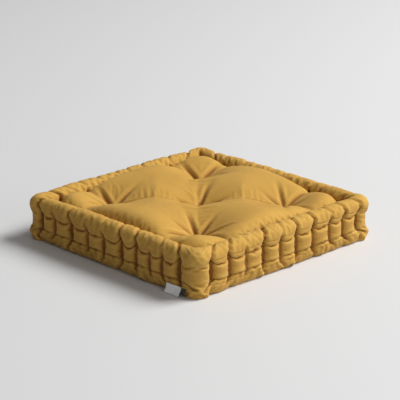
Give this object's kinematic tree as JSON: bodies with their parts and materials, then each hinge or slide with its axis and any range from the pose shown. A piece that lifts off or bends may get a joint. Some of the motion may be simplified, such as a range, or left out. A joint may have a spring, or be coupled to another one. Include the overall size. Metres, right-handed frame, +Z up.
{
  "type": "floor cushion",
  "caption": "Square tufted floor cushion with stuffed rolled edges above and below, a band of gathered upright columns on each side, and a woven label.",
  "frame": {"origin": "on the floor, under the middle of the cushion's box; the front label stands a few millimetres proud of it", "axes": "+Z up through the thickness; +X and +Y along the two sides; -Y is the side that carries the labels"},
  "size_m": [0.5794, 0.5859, 0.1164],
  "materials": {
    "ochre_cotton": "plain-woven cotton, matt, mustard ochre",
    "fibre_wadding": "loose fibre wadding, off-white",
    "ochre_thread": "waxed twisted thread, mustard ochre",
    "white_satin": "woven satin label, white",
    "black_satin": "woven satin label, black"
  },
  "bodies": {
    "root": {"top_panel": "ochre_cotton", "bottom_panel": "ochre_cotton", "side_panel_front": "ochre_cotton", "side_panel_right": "ochre_cotton", "side_panel_back": "ochre_cotton", "side_panel_left": "ochre_cotton", "core_wadding": "fibre_wadding", "upper_roll_wadding": "fibre_wadding", "lower_roll_wadding": "fibre_wadding", "upper_roll_thread": "ochre_thread", "lower_roll_thread": "ochre_thread", "tuft_tie_centre": "ochre_thread", "tuft_tie_front_left": "ochre_thread", "tuft_tie_front_right": "ochre_thread", "tuft_tie_back_right": "ochre_thread", "tuft_tie_back_left": "ochre_thread", "brand_label": "white_satin", "care_label": "black_satin"}
  },
  "joints": []
}
